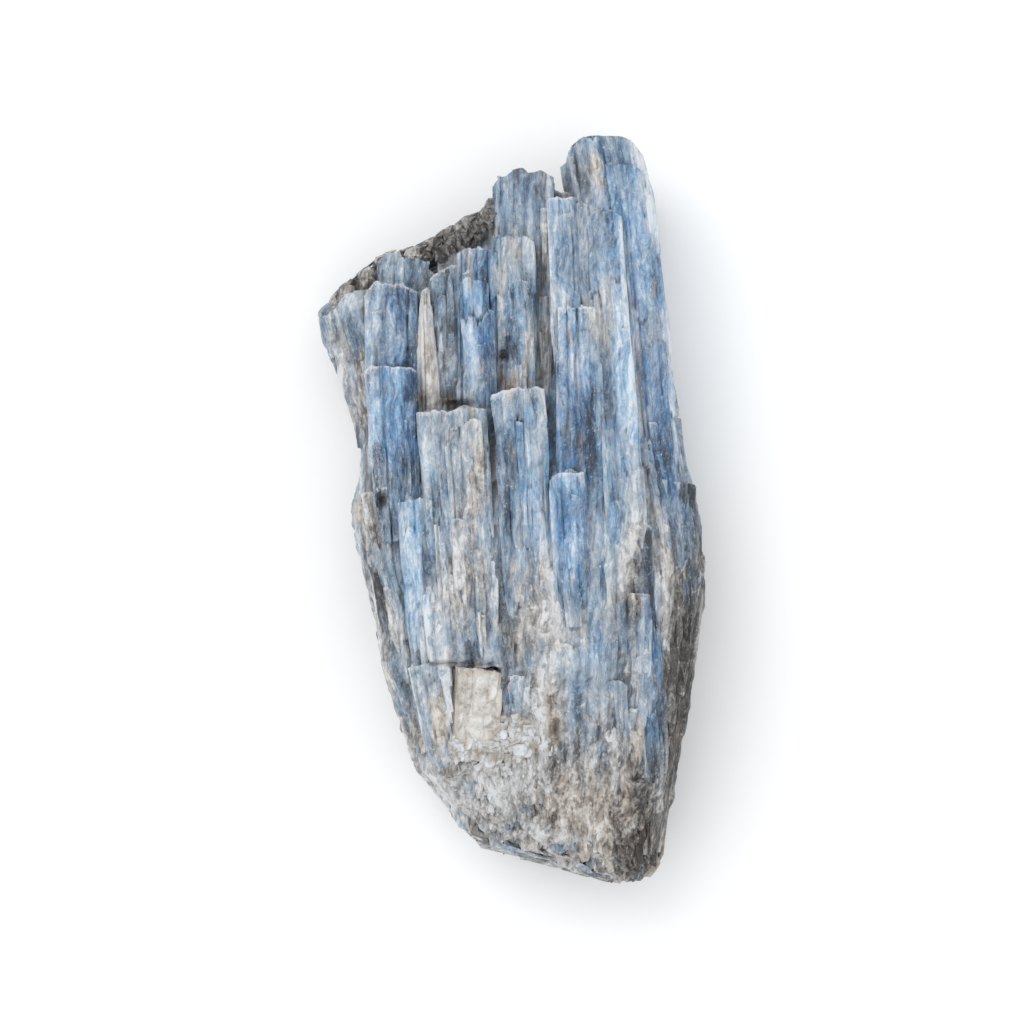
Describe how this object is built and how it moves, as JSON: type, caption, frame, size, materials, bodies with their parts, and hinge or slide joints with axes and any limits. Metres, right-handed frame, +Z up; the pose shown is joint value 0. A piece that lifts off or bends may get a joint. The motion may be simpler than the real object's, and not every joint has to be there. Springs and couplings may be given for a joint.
{
  "type": "kyanite blade cluster",
  "caption": "Rough blue kyanite: long striated blades grown side by side, with stepped broken ends, a grey-brown foot and a pale mica book, lying on its back.",
  "frame": {"origin": "the middle of the object's box, on the surface that the specimen rests on", "axes": "+Y along the blades towards their stepped broken ends, +X to the right when the stepped face is seen from above, +Z up and out of the stepped face"},
  "size_m": [0.0412, 0.0799, 0.0202],
  "materials": {
    "kyanite": "satin",
    "mica": "satin"
  },
  "bodies": {
    "root": {"kyanite_blades": "kyanite", "mica_book": "mica"}
  },
  "joints": []
}
